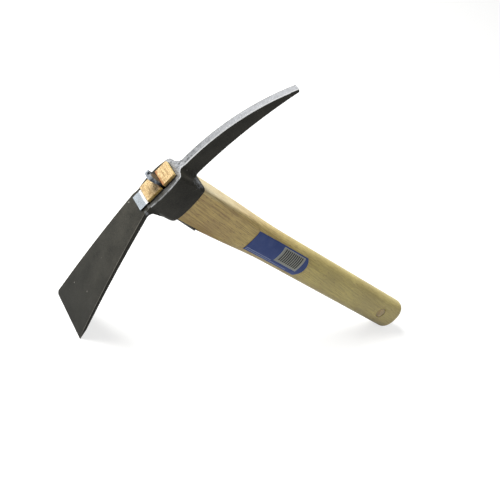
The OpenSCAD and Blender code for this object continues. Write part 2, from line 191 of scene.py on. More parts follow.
class LabelSizes(bpy.types.PropertyGroup):
    """Sizes of the paper label and its print."""

    total: length("Length", 79.0, "Length along the handle")
    height: length("Height", 21.6, "Height across the side of the handle")
    thick: length("Thickness", 0.3, "Thickness of the paper")
    start: length("Start", 119.4, "Distance from the rim to the label")
    rise: length("Rise", 0.2, "Height of its middle line above the handle's middle")
    bulge: length("Bulge", 5.0, "Bulge of the rounded end")
    panel_from: length("Panel start", 41.2, "From the label's start to the near end of the grey panel")
    panel_to: length("Panel end", 76.0, "From the label's start to the far end of the grey panel")
    panel_low: length("Panel below", 6.0, "Reach of the panel towards the blade side")
    panel_high: length("Panel above", 10.0, "Reach of the panel towards the cutter side")
    bar_pitch: length("Bar pitch", 2.9, "Pitch of the bars on the panel")
    bar_width: length("Bar width", 1.76, "Width of each bar")


class Finishes(bpy.types.PropertyGroup):
    """Colours of the materials."""

    scale_dark: colour("Scale, dark", "#181814", "Lacquered forging scale where it is thick")
    scale_pale: colour("Scale, pale", "#37352e", "Lacquered forging scale where it is thin")
    scale_fleck: colour("Scale fleck", "#77746d", "Flecks where the scale has chipped")
    ground: colour("Ground steel", "#d4d6d9", "Freshly ground steel")
    ground_dull: colour("Ground steel, dull", "#84878b", "Ground steel with a trace of scale")
    # Painted highlight colour, for the cutter's near arris and the strip's bend.
    steel_highlight: colour("Ground steel, bright", "#f4f5f6", "Freshly rubbed arris of the ground steel")
    pit: colour("Pits", "#4c4c4a", "Scale left in pits of the ground steel")
    wood_pale: colour("Wood, pale", "#d4b868", "Pale early wood")
    wood_grip: colour("Wood, grip", "#d2c063", "Pale wood of the grip, yellowed by its coat")
    # Painted highlight for the cutter side of the handle.
    wood_highlight: colour("Wood, planed", "#dccfa4", "Paler planed wood along the cutter side")
    # Raw wood, lightened as painted light against the hole's shade.
    wood_raw_and_lit: colour("Wood, raw", "#fff2d6", "Raw wood inside the drilled hole")
    wood_dark: colour("Wood, streaks", "#8f6c2e", "Brown late wood")
    wood_late: colour("Wood, grip streaks", "#937c38", "Late wood of the grip, yellowed by its coat")
    # Painted shade for the underside of the grip.
    wood_underside_shade: colour("Wood, underside", "#5e4f26", "Underside of the grip, darkened by handling")
    # Painted shade in the joint round the tenon.
    wood_joint_shade: colour("Wood, soil", "#1d1710", "Soil in the joint round the tenon")
    wood_fleck: colour("Wood flecks", "#855a24", "Short flecks in the wood")
    end_pale: colour("End grain, pale", "#cdb487", "Golden end of the wood")
    end_dark: colour("End grain, dark", "#6a4f2a", "Pores in the end of the wood")
    rust: colour("Rust stain", "#7d4520", "Rust bled into the wood beside the wedge")
    wedge: colour("Wedge steel", "#b4bac2", "Blue-grey steel of the wedge")
    # Used for grime, and for painted shade low on the wedge and in its dent.
    wedge_scale_and_shade: colour("Wedge steel, dark", "#3c4148", "Hammer scale on the wedge")
    strip: colour("Strip steel", "#c8d1d9", "Bright sheet steel")
    label_blue: colour("Label blue", "#2e4686", "Blue ground of the label")
    label_panel: colour("Label panel", "#a8aaa4", "Grey panel on the label")
    label_bar: colour("Label bars", "#2a2a26", "Plain bars on the panel")
    label_rule: colour("Label rules", "#8f9cc4", "Pale rules along the label")
    floor: colour("Floor", "#a8a8a6", "Pale studio floor")


class StageSizes(bpy.types.PropertyGroup):
    """Camera, lamps and floor."""

    focal: amount("Focal length", 82.8, "Focal length of the camera", "CAMERA")
    film: amount("Film width", 36.0, "Width of the camera's film", "CAMERA")
    place: bpy.props.FloatVectorProperty(
        name="Camera place", description="Place of the camera in the tool's own axes", size=3,
        default=(236.56 * MM, -615.4 * MM, 631.95 * MM), subtype="TRANSLATION", unit="LENGTH")
    turn: bpy.props.FloatVectorProperty(
        name="Camera turn", description="Turn of the camera in the tool's own axes", size=3,
        default=[math.radians(part) for part in (22.524, 34.801, -31.945)], subtype="EULER", unit="ROTATION")
    floor: length("Floor", 9000.0, "Side of the studio floor")
    key: amount("Key lamp", 58.0, "Power of the large lamp above the head", "POWER")
    fill: amount("Fill lamp", 1.6, "Power of the lamp on the near side", "POWER")
    sky: amount("Sky", 0.21, "Strength of the even light all round")
    mirror_low: amount("Mirrored horizon", 0.45, "Strength of the horizon as bright metal shows it")
    mirror_high: amount("Mirrored sky", 1.0, "Strength of the sky overhead as bright metal shows it")
    lift: amount("Floor lift", 0.72, "Whiteness added to the floor where it is seen")


GROUPS = {
    "mattock_head_sizes": HeadSizes,
    "mattock_handle_sizes": HandleSizes,
    "mattock_wedge_sizes": WedgeSizes,
    "mattock_strip_sizes": StripSizes,
    "mattock_label_sizes": LabelSizes,
    "mattock_finishes": Finishes,
    "mattock_stage_sizes": StageSizes,
}


def bare():
    """Leaves nothing selected, in object mode."""
    if bpy.context.object and bpy.context.object.mode != "OBJECT":
        bpy.ops.object.mode_set(mode="OBJECT")
    bpy.ops.object.select_all(action="DESELECT")


def alone(piece):
    """Selects the piece alone, in object mode."""
    bare()
    bpy.context.view_layer.objects.active = piece
    piece.select_set(True)


def pick(piece, kind, test):
    """Selects the edges or faces of the piece in edit mode that pass a test."""
    bpy.ops.mesh.select_mode(type=kind)
    bpy.ops.mesh.select_all(action="DESELECT")
    mesh = bmesh.from_edit_mesh(piece.data)
    chosen = [part for part in (mesh.edges if kind == "EDGE" else mesh.faces) if test(part)]
    for part in chosen:
        part.select_set(True)
    bmesh.update_edit_mesh(piece.data)
    if not chosen:
        raise RuntimeError(f"{piece.name}: nothing is picked")


def block(name, sides, middle):
    """Adds a block with the given sides and middle, and leaves it in edit mode."""
    bare()
    bpy.ops.mesh.primitive_cube_add(size=1.0, enter_editmode=True)
    piece = bpy.context.object
    piece.name = piece.data.name = name
    bpy.ops.transform.resize(value=sides)
    bpy.ops.transform.translate(value=middle)
    return piece


def sweep(name, loops):
    """Extrudes one loop of edges through the given loops of points and closes both ends."""
    bare()
    bpy.ops.mesh.primitive_circle_add(vertices=len(loops[0]), radius=1.0, enter_editmode=True)
    piece = bpy.context.object
    piece.name = piece.data.name = name
    mesh = bmesh.from_edit_mesh(piece.data)
    place = mesh.verts.layers.int.new("place")
    mesh.verts.ensure_lookup_table()
    for i, point in enumerate(mesh.verts):
        point[place] = i
    bmesh.update_edit_mesh(piece.data)
    for step, loop in enumerate(loops):
        if step:
            bpy.ops.mesh.extrude_edges_move(TRANSFORM_OT_translate={"value": (0.0, 0.0, 0.0)})
        mesh = bmesh.from_edit_mesh(piece.data)
        place = mesh.verts.layers.int["place"]
        for point in mesh.verts:
            if point.select:
                point.co = loop[point[place]]
        bmesh.update_edit_mesh(piece.data)
    pick(piece, "EDGE", lambda edge: edge.is_boundary)
    bpy.ops.mesh.fill_holes(sides=0)
    bpy.ops.mesh.select_all(action="SELECT")
    bpy.ops.mesh.normals_make_consistent(inside=False)
    bpy.ops.object.mode_set(mode="OBJECT")
    return piece


def finish_modifier(piece, kind, **settings):
    """Adds a modifier to the piece and applies it."""
    alone(piece)
    modifier = piece.modifiers.new(kind.title(), kind)
    for key, value in settings.items():
        setattr(modifier, key, value)
    bpy.ops.object.modifier_apply(modifier=modifier.name)


def cut(piece, tool):
    """Cuts the piece with a tool shape, which is then removed, and clears the slivers of the cut."""
    finish_modifier(piece, "BOOLEAN", object=tool, operation="DIFFERENCE", solver="EXACT")
    bpy.data.objects.remove(tool)
    bpy.ops.object.mode_set(mode="EDIT")
    bpy.ops.mesh.select_all(action="SELECT")
    bpy.ops.mesh.remove_doubles(threshold=SLIVER)
    bpy.ops.mesh.dissolve_degenerate(threshold=SLIVER)
    bpy.ops.object.mode_set(mode="OBJECT")


def soften(piece, width, segments, degrees):
    """Wears the edges of the piece that are sharper than an angle."""
    finish_modifier(piece, "BEVEL", width=width, segments=segments, limit_method="ANGLE",
                    angle_limit=math.radians(degrees))


def smooth(piece, degrees):
    """Shades the piece smooth up to an angle, with flat faces kept flat beside narrow ones."""
    alone(piece)
    bpy.ops.object.shade_smooth_by_angle(angle=math.radians(degrees))
    finish_modifier(piece, "WEIGHTED_NORMAL", weight=60, keep_sharp=True)


def stand(piece):
    """Sets the piece down on the floor as the tool stands."""
    alone(piece)
    piece.matrix_world = STANCE
    bpy.ops.object.transform_apply(location=True, rotation=True, scale=True)


def stand_in(piece, node):
    """Puts the piece in the place of its CAD node."""
    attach(piece, "root")
    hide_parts(node)


def plug(node, sockets):
    """Sets or links sockets of a shader node, by name or else in the order of those in use."""
    if not isinstance(sockets, dict):
        in_use = [i for i, socket in enumerate(node.inputs) if socket.enabled]
        sockets = dict(zip(in_use, sockets))
    for key, value in sockets.items():
        if isinstance(value, bpy.types.NodeSocket):
            node.id_data.links.new(value, node.inputs[key])
        else:
            node.inputs[key].default_value = value


def add(tree, kind, sockets, out=None, **settings):
    """Adds a shader node with its settings and sockets, and gives the named output or the first in use."""
    made = tree.nodes.new("ShaderNode" + kind)
    for key, value in settings.items():
        setattr(made, key, value)
    plug(made, sockets)
    return made.outputs[out] if out else next(socket for socket in made.outputs if socket.enabled)


def blank(name):
    """A new material with its shader, the tool's own axes in millimetres and the call that adds nodes."""
    made = bpy.data.materials.new(name)
    made.use_nodes = True
    put = partial(add, made.node_tree)
    place = put("TexCoord", (), "Object")
    tool = put("Mapping", {
        "Vector": place, "Location": RIM, "Rotation": LEAN, "Scale": (MM, MM, MM)}, vector_type="TEXTURE")
    return made, made.node_tree.nodes["Principled BSDF"], tool, put


# Places and sizes of the patterns below are in millimetres, in the tool's own axes. A Map Range node takes
# its value, the range that it comes from and the range that it goes to.


def forge_scale(finish):
    """Lacquered forging scale: dark oxide from the hammer, thin and thick in patches, with chipped flecks."""
    made, shader, tool, put = blank("lacquered_forging_scale")
    patch = put("TexNoise", {"Vector": tool, "Scale": 1 / 22, "Detail": 5.0, "Roughness": 0.6})
    # The grit is drawn a millimetre wide, a few times as coarse as it is, so that it shows.
    grit = put("TexNoise", {"Vector": tool, "Scale": 1 / 1.0, "Detail": 4.0, "Roughness": 0.75})
    mottle = put("Mix", (0.5, patch, grit))
    thin = put("MapRange", (mottle, 0.37, 0.63))
    # The scale is thickest towards the cutting edge.
    out = put("SeparateXYZ", (tool,), "X")
    worked = put("MapRange", (out, -140.0, -30.0, 0.2, 1.1))
    share = put("Math", (thin, worked), operation="MULTIPLY")
    body = put("Mix", (share, finish.scale_dark, finish.scale_pale), data_type="RGBA")
    chips = put("TexNoise", {"Vector": tool, "Scale": 1 / 3.4, "Detail": 1.0})
    chip = put("MapRange", (chips, 0.775, 0.815))
    tinted = put("Mix", (chip, body, finish.scale_fleck), data_type="RGBA")
    # It is rubbed through at the near corner of the blade's root. A painted highlight, in the same dull
    # ground colour, lies on the eye's lower corner under the cutter.
    ragged = put("TexNoise", {"Vector": tool, "Scale": 1 / 2.2, "Detail": 4.0, "Roughness": 0.7})
    rub_and_highlight_spots = []
    for place, reach in (((-23.0, -12.4, -1.5), 4.5), ((19.0, -6.0, -24.0), 13.0)):
        away = put("VectorMath", (tool, place), operation="DISTANCE")
        near = put("MapRange", (away, 0.0, reach, 0.42, -0.2))
        rub_and_highlight_spots.append(put("Math", (near, ragged), operation="ADD"))
    most = put("Math", rub_and_highlight_spots, operation="MAXIMUM")
    rubbed = put("MapRange", (most, 0.6, 0.9, 0.0, 0.9))
    shown = put("Mix", (rubbed, tinted, finish.ground_dull), data_type="RGBA")
    metal = put("MapRange", (rubbed, 0.0, 1.0, 0.0, 0.6))
    rough = put("MapRange", (patch, 0.3, 0.7, 0.52, 0.4))
    relief = put("Math", (grit, patch), operation="ADD")
    bump = put("Bump", {"Height": relief, "Strength": 0.35, "Distance": 0.12 * MM})
    plug(shader, {
        "Base Color": shown, "Metallic": metal, "Specular IOR Level": 0.14, "Roughness": rough,
        "Normal": bump})
    return made


def ground_steel(finish):
    """Ground steel: belt-ground bright strips with lengthwise scratches, and traces of scale in hollows."""
    made, shader, tool, put = blank("ground_steel")
    # The scratches are drawn a few times as wide as they are, so that they show.
    lined = put("VectorMath", (tool, (20.0, 0.625, 20.0)), operation="DIVIDE")
    lines = put("TexNoise", {"Vector": lined, "Scale": 1.0, "Detail": 4.0})
    trace = put("TexNoise", {"Vector": tool, "Scale": 1 / 3.0, "Detail": 4.0, "Roughness": 0.65})
    grit = put("TexNoise", {"Vector": tool, "Scale": 1 / 0.9, "Detail": 2.0})
    # The traces of scale thin out from the eye along the cutter.
    out = put("SeparateXYZ", (tool,), "X")
    spread = put("MapRange", (out, 34.0, 62.0, 1.0, 0.38))
    beyond = put("MapRange", (out, 24.0, 30.0, 0.5, 0.85))
    stained = put("Math", (spread, beyond), operation="MULTIPLY")
    dull = put("MapRange", (trace, 0.42, 0.74))
    patches = put("MapRange", (dull, 0.0, 1.0, 0.4, 1.5))
    dulled = put("Math", (patches, stained), operation="MULTIPLY")
    pits = put("MapRange", (grit, 0.58, 0.68, 0.0, 0.9))
    blots = put("MapRange", (trace, 0.53, 0.66, 0.0, 0.75))
    hollows = put("MapRange", (out, 30.0, 44.0, 1.0, 0.0))
    blotted = put("Math", (blots, hollows), operation="MULTIPLY")
    most = put("Math", (pits, blotted), operation="MAXIMUM")
    pitted = put("Math", (most, spread), operation="MULTIPLY")
    body = put("Mix", (dulled, finish.ground, finish.ground_dull), data_type="RGBA")
    shown = put("Mix", (pitted, body, finish.pit), data_type="RGBA")
    rough = put("MapRange", (lines, 0.0, 1.0, 0.3, 0.5))
    bump = put("Bump", {"Height": lines, "Strength": 0.3, "Distance": 0.06 * MM})
    plug(shader, {"Base Color": shown, "Metallic": 0.85, "Roughness": rough, "Normal": bump})
    return made


def worn_highlit_edge(finish, name, steel, least, most):
    """Worn arris: scale rubbed through along the edges, so the steel shows in broken lines. Put on faces that
    point up or to the near side, it is also a painted highlight.
    """
    made, shader, tool, put = blank(name)
    rub = put("TexNoise", {"Vector": tool, "Scale": 1 / 5.0, "Detail": 4.0, "Roughness": 0.7})
    # The blade's edges are rubbed less than the cutter's.
    out = put("SeparateXYZ", (tool,), "X")
    less = put("MapRange", (out, -20.0, 16.0, -0.16, 0.04))
    worked = put("Math", (rub, less), operation="ADD")
    bare_steel = put("MapRange", (worked, least, most))
    shown = put("Mix", (bare_steel, finish.scale_pale, steel), data_type="RGBA")
    plug(shader, {"Base Color": shown, "Metallic": bare_steel, "Roughness": 0.42})
    return made


def turned_wood(finish, hole, bore, depth):
    """Ash, shaped and sanded: pale wood with long brown streaks, short flecks and a thin clear coat.

    It is raw in the hanging hole, given by its height and radius, with painted light there. It carries
    painted shade in the joint down to the eye's depth, a painted highlight on the cutter side and painted
    shade on the blade side.
    """
    made, shader, tool, put = blank("sanded_ash")
    grain = put("Mapping", {"Vector": tool, "Rotation": (0.0, math.radians(-5), 0.0)})
    # Streaks, fibres and flecks, two sizes across the grain and one along it. The fibres are drawn a few
    # times as wide as they are, so that they show.
    patterns = []
    for size, detail, coarse, bent in (
            ((2.78, 2.22, 71.4), 5.0, 0.66, 0.5),
            ((0.667, 0.667, 20.0), 3.0, 0.5, 0.0),
            ((0.833, 0.833, 4.545), 1.0, 0.5, 0.0)):
        drawn = put("VectorMath", (grain, size), operation="DIVIDE")
        patterns.append(put("TexNoise", {
            "Vector": drawn, "Scale": 1.0, "Detail": detail, "Roughness": coarse, "Distortion": bent}))
    streak, fibre, fleck = patterns
    cloud = put("TexNoise", {"Vector": tool, "Scale": 1 / 45, "Detail": 2.0})
    height = put("SeparateXYZ", (tool,), "Z")
    aside = put("SeparateXYZ", (tool,), "X")
    # The coat has yellowed the grip, whose grain is plainer than the shank's.
    plain = put("MapRange", (height, -90.0, -230.0))
    aged = put("Mix", (plain, finish.wood_pale, finish.wood_grip), data_type="RGBA")
    late = put("Mix", (plain, finish.wood_dark, finish.wood_late), data_type="RGBA")
    # Painted highlight: the cutter side, which faces up, is paler, most of all near the head.
    turn = put("MapRange", (plain, 0.0, 1.0, 14.0, 7.0))
    beyond = put("Math", (aside, turn), operation="SUBTRACT")
    side = put("MapRange", (beyond, 0.0, 4.0))
    fades = put("MapRange", (height, -72.0, -125.0, 1.0, 0.25))
    side_highlight = put("Math", (side, fades), operation="MULTIPLY")
    # Painted shade: the blade side, which faces down, is darker, most of all near the butt.
    edge = put("MapRange", (plain, 0.0, 1.0, -11.0, -7.0))
    dark = put("MapRange", (height, -45.0, -95.0, 0.2, 0.85))
    below = put("MapRange", (aside, edge, -16.0, 0.0, dark))
    butt = put("MapRange", (height, -230.0, -370.0))
    under = put("Mix", (butt, finish.wood_late, finish.wood_underside_shade), data_type="RGBA")
    depth_of_grain = put("MapRange", (plain, 0.0, 1.0, 0.75, 0.45))
    calm = put("MapRange", (side_highlight, 0.0, 1.0, 1.0, 0.4))
    drawn_in = put("Math", (depth_of_grain, calm), operation="MULTIPLY")
    layers = [(side_highlight, finish.wood_highlight), (below, under)]
    for value, least, most, tone in (
            (streak, 0.47, 0.69, late), (fibre, 0.44, 0.66, late),
            (cloud, 0.4, 0.7, late), (fleck, 0.6, 0.74, finish.wood_fleck)):
        share = put("MapRange", (value, least, most))
        layers.append((put("Math", (share, drawn_in), operation="MULTIPLY"), tone))
    # Painted shade lies in the joint below the end of the wood, down to just above the shoulder.
    joint_shade = put("MapRange", (height, 2.0, 0.7))
    in_eye = put("Math", (height, 0.4 - depth), operation="GREATER_THAN")
    layers.append((put("Math", (joint_shade, in_eye), operation="MULTIPLY"), finish.wood_joint_shade))
    # The raw wood in the hanging hole is near white, paler than raw wood, as painted light against the hole's
    # shade.
    from_hole = put("VectorMath", (tool, (0.0, 0.0, hole)), operation="SUBTRACT")
    round_hole = put("VectorMath", (from_hole, (1.0, 0.0, 1.0)), operation="MULTIPLY")
    off = put("VectorMath", (round_hole,), operation="LENGTH")
    layers.append((put("MapRange", (off, bore + 0.7, bore + 0.1)), finish.wood_raw_and_lit))
    shown = aged
    for share, tone in layers:
        shown = put("Mix", (share, shown, tone), data_type="RGBA")
    rough = put("MapRange", (fibre, 0.0, 1.0, 0.36, 0.56))
    bump = put("Bump", {"Height": fibre, "Strength": 0.25, "Distance": 0.1 * MM})
    # The coat and the sheen fade under the underside's painted shade.
    coat = put("MapRange", (below, 0.0, 0.8, 0.3, 0.0))
    shine = put("MapRange", (below, 0.0, 0.8, 0.5, 0.1))
    plug(shader, {
        "Base Color": shown, "Roughness": rough, "Normal": bump, "Coat Weight": coat, "Coat Roughness": 0.28,
        "Specular IOR Level": shine})
    return made


def end_grain(finish, kerf):
    """Sawn end of the ash: golden, with open pores, and rust bled in beside the wedge in its kerf."""
    made, shader, tool, put = blank("sawn_ash_end")
    # The pores are drawn about three times as wide as they are, so that they show.
    pore = put("TexNoise", {"Vector": tool, "Scale": 1 / 0.9, "Detail": 4.0, "Roughness": 0.7})
    pores = put("MapRange", (pore, 0.42, 0.68, 0.0, 0.95))
    ring = put("VectorMath", (tool, (0.909, 7.14, 10.0)), operation="DIVIDE")
    band = put("TexNoise", {"Vector": ring, "Scale": 1.0, "Detail": 2.0})
    bands = put("MapRange", (band, 0.46, 0.62, 0.0, 0.5))
    across = put("SeparateXYZ", (tool,), "X")
    off = put("Math", (across, kerf), operation="SUBTRACT")
    near = put("Math", (off,), operation="ABSOLUTE")
    blot = put("TexNoise", {"Vector": tool, "Scale": 1 / 4.5, "Detail": 3.0})
    reach = put("Math", (blot, 9.0), operation="MULTIPLY")
    stain = put("Math", (reach, near), operation="SUBTRACT")
    rust = put("MapRange", (stain, 0.6, 3.2, 0.0, 0.75))
    shown = finish.end_pale
    for share, tone in ((bands, finish.end_dark), (pores, finish.end_dark), (rust, finish.rust)):
        shown = put("Mix", (share, shown, tone), data_type="RGBA")
    bump = put("Bump", {"Height": pore, "Strength": 0.5, "Distance": 0.25 * MM})
    plug(shader, {"Base Color": shown, "Roughness": 0.62, "Normal": bump})
    return made


def hammered_steel(finish, top, hollow):
    """Hammered mild steel: blue-grey and grimed, lighter towards the top where the hammer struck and as
    painted light, with painted shade lower down and in the dent's hollow.
    """
    made, shader, tool, put = blank("hammered_mild_steel")
    mark = put("TexVoronoi", {"Vector": tool, "Scale": 1 / 2.6, "Randomness": 0.9})
    grime = put("TexNoise", {"Vector": tool, "Scale": 1 / 3.5, "Detail": 4.0})
    height = put("SeparateXYZ", (tool,), "Z")
    # Painted light and shade: lighter near the top, darker below it.
    struck = put("MapRange", (height, top - 2.2, top - 0.2, 0.28, -0.1))
    grime_and_shade = put("Math", (grime, struck), operation="ADD")
    grimed_and_shaded = put("MapRange", (grime_and_shade, 0.42, 0.76))
    # Painted shade in the dent's hollow.
    away = put("VectorMath", (tool, hollow), operation="DISTANCE")
    pit = put("MapRange", (away, 1.8, 1.2))
    dark = put("Math", (grimed_and_shaded, pit), operation="MAXIMUM")
    shown = put("Mix", (dark, finish.wedge, finish.wedge_scale_and_shade), data_type="RGBA")
    rough = put("MapRange", (grime, 0.0, 1.0, 0.28, 0.5))
    bump = put("Bump", {"Height": mark, "Strength": 0.5, "Distance": 0.35 * MM})
    plug(shader, {"Base Color": shown, "Metallic": 0.9, "Roughness": rough, "Normal": bump})
    return made


def sheet_steel(finish, fold, half):
    """Cold-rolled sheet steel: bright and cool, with faint rolling lines, and a painted highlight on the bend
    at its fold.

    It is darker below the eye, and its sheared edges, half its width from the middle, carry painted shade.
    """
    made, shader, tool, put = blank("bright_sheet_steel")
    # The rolling lines are drawn a few times as wide as they are, so that they show.
    rolled = put("VectorMath", (tool, (8.33, 0.4545, 8.33)), operation="DIVIDE")
    lines = put("TexNoise", {"Vector": rolled, "Scale": 1.0, "Detail": 3.0})
    cloud = put("TexNoise", {"Vector": tool, "Scale": 1 / 9.0, "Detail": 2.0})
    dull = put("MapRange", (cloud, 0.4, 0.75, 0.0, 0.3))
    out = put("SeparateXYZ", (tool,), "X")
    # Painted highlight: the bend is whitened and made less metallic.
    bend = put("MapRange", (out, fold - 2.1, fold - 0.3))
    # Darker below the eye.
    height = put("SeparateXYZ", (tool,), "Z")
    darker_below_eye = put("MapRange", (height, -26.0, -34.0, 0.0, 0.92))
    side = put("SeparateXYZ", (tool,), "Y")
    off = put("Math", (side,), operation="ABSOLUTE")
    # Painted shade on the sheared edges: dark and not metallic.
    sheared = put("MapRange", (off, half - 0.2, half - 0.05))
    shown = finish.strip
    for share, tone in (
            (dull, finish.ground_dull), (bend, finish.steel_highlight),
            (darker_below_eye, finish.scale_pale), (sheared, finish.scale_dark)):
        shown = put("Mix", (share, shown, tone), data_type="RGBA")
    rolled_metal = put("MapRange", (bend, 0.0, 1.0, 0.9, 0.35))
    metal = put("Mix", (sheared, rolled_metal, 0.0))
    rough = put("MapRange", (lines, 0.0, 1.0, 0.2, 0.36))
    bump = put("Bump", {"Height": lines, "Strength": 0.08, "Distance": 0.05 * MM})
    plug(shader, {"Base Color": shown, "Metallic": metal, "Roughness": rough, "Normal": bump})
    return made


def printed_label(finish, size):
    """Printed paper, varnished: blue ground, plain rules along one edge and a grey panel with even bars."""
    made, shader, tool, put = blank("varnished_printed_paper")
    across = put("SeparateXYZ", (tool,), "X")
    along = put("SeparateXYZ", (tool,), "Z")
    start = -size.start / MM

    def field(begin, end, low, high):
        """One inside a field of the print, between two distances from the label's start and two sides."""
        inside = 1.0
        for value, operation, limit in (
                (along, "GREATER_THAN", start - end), (along, "LESS_THAN", start - begin),
                (across, "GREATER_THAN", low), (across, "LESS_THAN", high)):
            test = put("Math", (value, limit), operation=operation)
            inside = put("Math", (inside, test), operation="MULTIPLY")
        return inside

    begin, end = size.panel_from / MM, size.panel_to / MM
    low, high = -size.panel_low / MM, size.panel_high / MM
    panel = field(begin, end, low, high)
    end_margin, low_margin, high_margin = 2.4, 2.2, 1.0
    inner = field(begin + end_margin, end - end_margin, low + low_margin, high - high_margin)
    pitch = put("Math", (along, size.bar_pitch / MM / 2), operation="PINGPONG")
    stripe = put("Math", (pitch, size.bar_width / MM / 2), operation="LESS_THAN")
    bars = put("Math", (stripe, inner), operation="MULTIPLY")
    short_rule = field(1.0, 39.0, -7.9, -7.1)
    long_rule = field(1.0, 65.0, -9.5, -8.8)
    rules = put("Math", (short_rule, long_rule), operation="MAXIMUM")
    worn = put("TexNoise", {"Vector": tool, "Scale": 1 / 8.0, "Detail": 4.0})
    fade = put("MapRange", (worn, 0.35, 0.7, 0.0, 0.1))
    shown = finish.label_blue
    for share, tone in (
            (fade, finish.label_rule), (rules, finish.label_rule),
            (panel, finish.label_panel), (bars, finish.label_bar)):
        shown = put("Mix", (share, shown, tone), data_type="RGBA")
    rough = put("MapRange", (worn, 0.0, 1.0, 0.45, 0.6))
    # The paper's tooth is drawn a few times as coarse as it is, so that it shows.
    tooth = put("TexNoise", {"Vector": tool, "Scale": 1 / 1.2, "Detail": 2.0})
    bump = put("Bump", {"Height": tooth, "Strength": 0.15, "Distance": 0.05 * MM})
    plug(shader, {"Base Color": shown, "Specular IOR Level": 0.25, "Roughness": rough, "Normal": bump})
    return made


def arc_middle(start, end, radius):
    """Centre of the arc that bulges upwards between two points."""
    along = (end - start).normalized()
    drop = math.sqrt(radius ** 2 - ((end - start).length / 2) ** 2)
    return (start + end) / 2 + Vector((along.y, -along.x)) * drop


def arc_height(x, centre, radius):
    """Height of the upper side of an arc at a place along the head."""
    return centre.y + math.sqrt(radius ** 2 - (x - centre.x) ** 2)


def head_loop(x, top, low, side, soft, lean=0.0, swell=0.0):
    """One loop round the head: a softened block with half widths above, at the web and below.

    Its foot may lean along the head, and its far side may swell.
    """
    upper, web_out, web_in, foot = side
    mid_out = (web_out[0], min(max(web_out[1], low + soft), top - soft))
    mid_in = (web_in[0], min(max(web_in[1], low + soft), mid_out[1]))
    turns = [math.radians(degrees) for degrees in (90, 60, 30, 0)]
    half = [(0.0, top)]
    half += [(upper - soft * (1 - math.cos(turn)), top - soft * (1 - math.sin(turn))) for turn in turns]
    half += [mid_out, mid_in]
    half += [
        (foot - soft * (1 - math.cos(turn)), low + soft * (1 - math.sin(turn))) for turn in reversed(turns)]
    half += [(0.0, low)]
    near = [(-y, z) for y, z in reversed(half[1:-1])]
    far = [(y + swell if y > 0.0 else y, z) for y, z in half]
    return [Vector((x - lean * (top - z) / (top - low), y, z)) for y, z in far + near]


